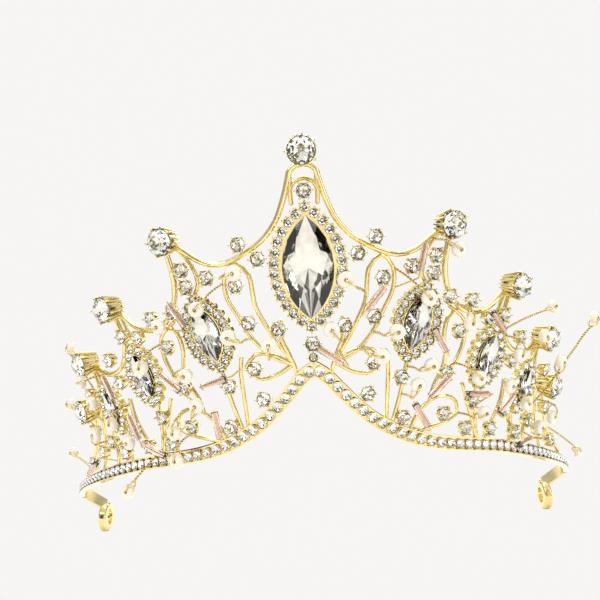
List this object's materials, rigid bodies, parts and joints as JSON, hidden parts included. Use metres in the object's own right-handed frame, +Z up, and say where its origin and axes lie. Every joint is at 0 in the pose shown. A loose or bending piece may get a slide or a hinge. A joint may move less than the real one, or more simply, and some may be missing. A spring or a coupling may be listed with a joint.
{
  "type": "bridal crown tiara",
  "caption": "Curved gold-plated crown with stepped peaks, pointed-oval crystals in stone halos, a stone band rising to a point, hand-wired beads and eyes at the arm ends",
  "frame": {"origin": "the middle of the head seat, level with the band's narrowest line, midway between the front and the arm ends", "axes": "+X to the right as seen from the front, +Y towards the back of the head, +Z up the wall; the front faces -Y"},
  "size_m": [0.156, 0.0949, 0.1035],
  "materials": {
    "gold_plate": "polished pale gold plating",
    "gold_wire": "thin twisted gold wire",
    "crystal": "faceted, foil-backed",
    "milk_bead": "pearly milk white",
    "lined_glass": "clear glass tube with a copper-pink lining"
  },
  "bodies": {
    "crown_frame": {"left_band": "gold_plate", "left_band_stones": "crystal", "left_arm": "gold_plate", "left_end_loop": "gold_plate", "right_band": "gold_plate", "right_band_stones": "crystal", "right_arm": "gold_plate", "right_end_loop": "gold_plate", "left_top_rail": "gold_plate", "left_scrolls": "gold_plate", "right_top_rail": "gold_plate", "right_scrolls": "gold_plate", "crest_arch": "gold_plate", "centre_setting": "gold_plate", "centre_marquise_stone": "crystal", "centre_halo_stones": "crystal", "left_inner_setting": "gold_plate", "left_inner_marquise_stone": "crystal", "left_inner_halo_stones": "crystal", "left_middle_setting": "gold_plate", "left_middle_marquise_stone": "crystal", "left_middle_halo_stones": "crystal", "left_outer_setting": "gold_plate", "left_outer_marquise_stone": "crystal", "left_outer_halo_stones": "crystal", "right_inner_setting": "gold_plate", "right_inner_marquise_stone": "crystal", "right_inner_halo_stones": "crystal", "right_middle_setting": "gold_plate", "right_middle_marquise_stone": "crystal", "right_middle_halo_stones": "crystal", "right_outer_setting": "gold_plate", "right_outer_marquise_stone": "crystal", "right_outer_halo_stones": "crystal", "left_claw_cups": "gold_plate", "left_claw_stones": "crystal", "right_claw_cups": "gold_plate", "right_claw_stones": "crystal", "centre_claw_cups": "gold_plate", "centre_claw_stones": "crystal", "peak_cups": "gold_plate", "peak_stones": "crystal", "left_white_beads": "milk_bead", "left_bead_wires": "gold_wire", "left_bugle_beads": "lined_glass", "left_bugle_wires": "gold_wire", "right_white_beads": "milk_bead", "right_bead_wires": "gold_wire", "right_bugle_beads": "lined_glass", "right_bugle_wires": "gold_wire", "sprig_wires": "gold_wire"},
    "left_upper_bead_body": {"left_upper_bead": "milk_bead"},
    "left_middle_bead_body": {"left_middle_bead": "milk_bead"},
    "left_lower_bead_body": {"left_lower_bead": "milk_bead"},
    "left_drop_bead_body": {"left_drop_bead": "milk_bead"},
    "right_upper_bead_body": {"right_upper_bead": "milk_bead"},
    "right_twig_bead_body": {"right_twig_bead": "milk_bead"},
    "right_side_bead_body": {"right_side_bead": "milk_bead"},
    "right_drop_bead_body": {"right_drop_bead": "milk_bead"}
  },
  "joints": [
    {"name": "left_upper_spin", "type": "hinge", "parent": "crown_frame", "child": "left_upper_bead_body", "pos_m": [-0.06982, -0.00322, 0.0294], "axis": [-0.7645, -0.6116, 0.2039], "continuous": true},
    {"name": "left_middle_spin", "type": "hinge", "parent": "crown_frame", "child": "left_middle_bead_body", "pos_m": [-0.07444, 0.00713, 0.01279], "axis": [-0.8197, -0.5635, 0.1025], "continuous": true},
    {"name": "left_lower_spin", "type": "hinge", "parent": "crown_frame", "child": "left_lower_bead_body", "pos_m": [-0.07677, 0.01485, -0.0027], "axis": [-0.8826, -0.4673, 0.0519], "continuous": true},
    {"name": "left_drop_spin", "type": "hinge", "parent": "crown_frame", "child": "left_drop_bead_body", "pos_m": [-0.04618, -0.02992, -0.00594], "axis": [-0.4654, -0.879, 0.1034], "continuous": true},
    {"name": "right_upper_spin", "type": "hinge", "parent": "crown_frame", "child": "right_upper_bead_body", "pos_m": [0.06181, -0.01991, 0.03288], "axis": [0.5658, -0.823, -0.0514], "continuous": true},
    {"name": "right_twig_spin", "type": "hinge", "parent": "crown_frame", "child": "right_twig_bead_body", "pos_m": [0.07508, -0.01319, 0.02943], "axis": [0.6066, -0.7886, -0.1011], "continuous": true},
    {"name": "right_side_spin", "type": "hinge", "parent": "crown_frame", "child": "right_side_bead_body", "pos_m": [0.06149, -0.02271, 0.01896], "axis": [0.7089, -0.6583, -0.2532], "continuous": true},
    {"name": "right_drop_spin", "type": "hinge", "parent": "crown_frame", "child": "right_drop_bead_body", "pos_m": [0.07643, 0.00984, -0.0095], "axis": [0.8608, -0.5064, 0.0506], "continuous": true}
  ]
}
